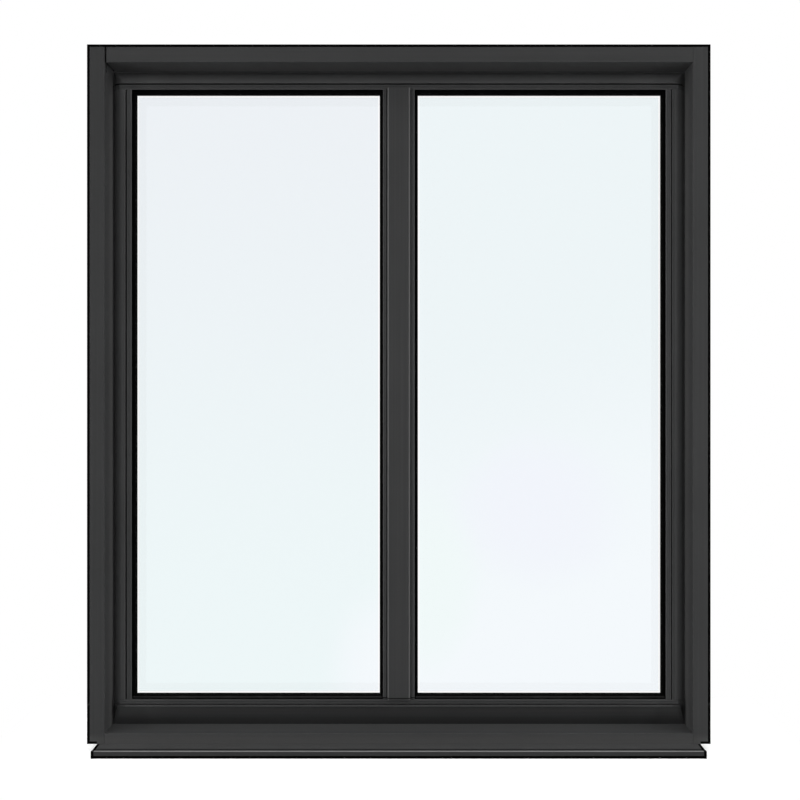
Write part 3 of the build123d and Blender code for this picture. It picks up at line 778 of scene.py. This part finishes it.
def bead_screws(coating):
    """A row of screws on every bead, each row one piece."""
    head = screw_head()
    for pane in PANES:
        for edge in EDGES:
            row = []
            for turn, place in enumerate(bead_places(pane, edge)):
                screw = bpy.data.objects.new(f"screw_{turn}", head.data.copy())
                turned = Matrix.Rotation(SCREW_TURN * turn, 4, "Y")
                screw.data.transform(Matrix.Translation(place) @ turned)
                bpy.context.collection.objects.link(screw)
                row.append(screw)
            start_piece()
            for screw in row:
                screw.select_set(True)
            bpy.context.view_layer.objects.active = row[0]
            bpy.ops.object.join()
            piece = bpy.context.object
            piece.name = f"{pane}_pane_{edge}_bead_screws"
            piece.data.materials.append(coating)
            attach(piece, WINDOW)
    bpy.data.objects.remove(head)


# Studio

def studio_floor():
    """Pale floor that looks white where light reaches it and keeps the window's shadow."""
    start_piece()
    bpy.ops.mesh.primitive_plane_add(size=FLOOR_SIZE, location=(0, 0, cad_low.z))
    floor = bpy.context.object
    floor.name = "studio_floor"
    material = new_material("studio_floor_finish")
    board = Shading(material.node_tree)
    seen = board.seen()
    x, y = board.axes(board.place())[:2]
    middle = (cad_low + cad_high) / 2
    half = (cad_high - cad_low) / 2
    apart = (abs(x - middle.x) - half.x).most(abs(y - middle.y) - half.y)
    glow = board.node("ShaderNodeEmission", None, {"Color": grey(1.0), "Strength": FLOOR_GLOW * seen})
    matt = board.node("ShaderNodeBsdfDiffuse", None, {"Color": grey(FLOOR_TONE)})
    near = board.node("ShaderNodeAddShader", None, {0: matt, 1: glow})
    white = board.node("ShaderNodeEmission", None, {"Color": grey(1.0), "Strength": 1.0})
    far = seen * board.between(apart, *SHADOW_REACH)
    board.close(board.node("ShaderNodeMixShader", None, {0: far, 1: near, 2: white}))
    floor.data.materials.append(material)


def studio_world():
    """White to the eye and in reflections, a low even light for everything else."""
    world = bpy.data.worlds.new("studio_world")
    bpy.context.scene.world = world
    world.use_nodes = True
    sky = Shading(world.node_tree)
    strength = AMBIENT_LIGHT + (1.0 - AMBIENT_LIGHT) * sky.seen()
    light = sky.node("ShaderNodeBackground", None, {"Color": grey(1.0), "Strength": strength})
    sky.node("ShaderNodeOutputWorld", None, {"Surface": light})


def light_panel(name, place, size, power, aim):
    """Soft rectangular panel that points at a place on the window and doesn't show in the panes."""
    light = bpy.data.lights.new(name, "AREA")
    light.shape = "RECTANGLE"
    light.size, light.size_y = size
    light.energy = power
    panel = bpy.data.objects.new(name, light)
    panel.location = place
    panel.rotation_euler = (Vector(aim) - Vector(place)).to_track_quat("-Z", "Y").to_euler()
    panel.visible_camera = False
    panel.visible_transmission = False
    panel.visible_glossy = False
    bpy.context.collection.objects.link(panel)


def studio_lights():
    middle = (0.0, 0.0, (cad_low.z + cad_high.z) / 2)
    x, y, z = SIDE_PANEL_PLACE
    light_panel("left_panel", (-x, y, z), SIDE_PANEL_SIZE, SIDE_PANEL_POWER, middle)
    light_panel("right_panel", (x, y, z), SIDE_PANEL_SIZE, SIDE_PANEL_POWER, middle)
    light_panel("top_panel", TOP_PANEL_PLACE, TOP_PANEL_SIZE, TOP_PANEL_POWER, middle)
    light_panel("front_panel", FRONT_PANEL_PLACE, FRONT_PANEL_SIZE, FRONT_PANEL_POWER, middle)
    light_panel("room_panel", ROOM_PANEL_PLACE, ROOM_PANEL_SIZE, ROOM_PANEL_POWER, middle)


def studio_camera():
    lens = bpy.data.cameras.new("studio_camera")
    lens.lens = CAMERA_LENS
    lens.sensor_width = CAMERA_SENSOR
    camera = bpy.data.objects.new("studio_camera", lens)
    camera.location = CAMERA_PLACE
    camera.rotation_euler = (pi / 2, 0, 0)
    bpy.context.collection.objects.link(camera)
    bpy.context.scene.camera = camera


studio_camera()
frame_coats = {
    "X": anthracite_coating("level_bar_coating", "X"),
    "Z": anthracite_coating("upright_bar_coating", "Z"),
}
dress_cad_nodes(frame_coats)
bead_screws(frame_coats["X"])
studio_world()
studio_lights()
studio_floor()
bpy.context.scene.view_settings.view_transform = "Standard"
